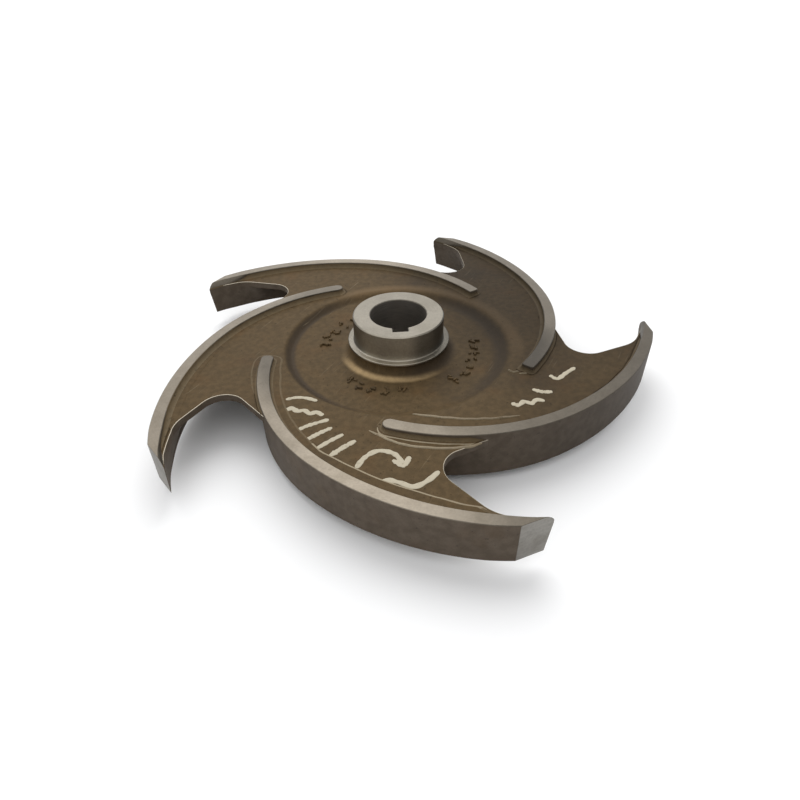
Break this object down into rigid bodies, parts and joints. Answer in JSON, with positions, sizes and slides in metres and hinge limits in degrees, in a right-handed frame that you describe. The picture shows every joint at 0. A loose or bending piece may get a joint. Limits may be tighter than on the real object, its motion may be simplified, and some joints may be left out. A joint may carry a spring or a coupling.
{
  "type": "open pump impeller",
  "caption": "Open centrifugal pump impeller: backswept vanes on a scalloped back web, with a keyed bore in a raised hub.",
  "frame": {"origin": "on the bore's axis, level with the flat nose face that the part rests on", "axes": "+Z along the bore towards the hub's face, -Y through the keyway"},
  "size_m": [0.3275, 0.3408, 0.0556],
  "materials": {
    "cast_metal": "as cast, machined on the hub, rib tops and rim"
  },
  "bodies": {
    "root": {"impeller": "cast_metal"}
  },
  "joints": []
}
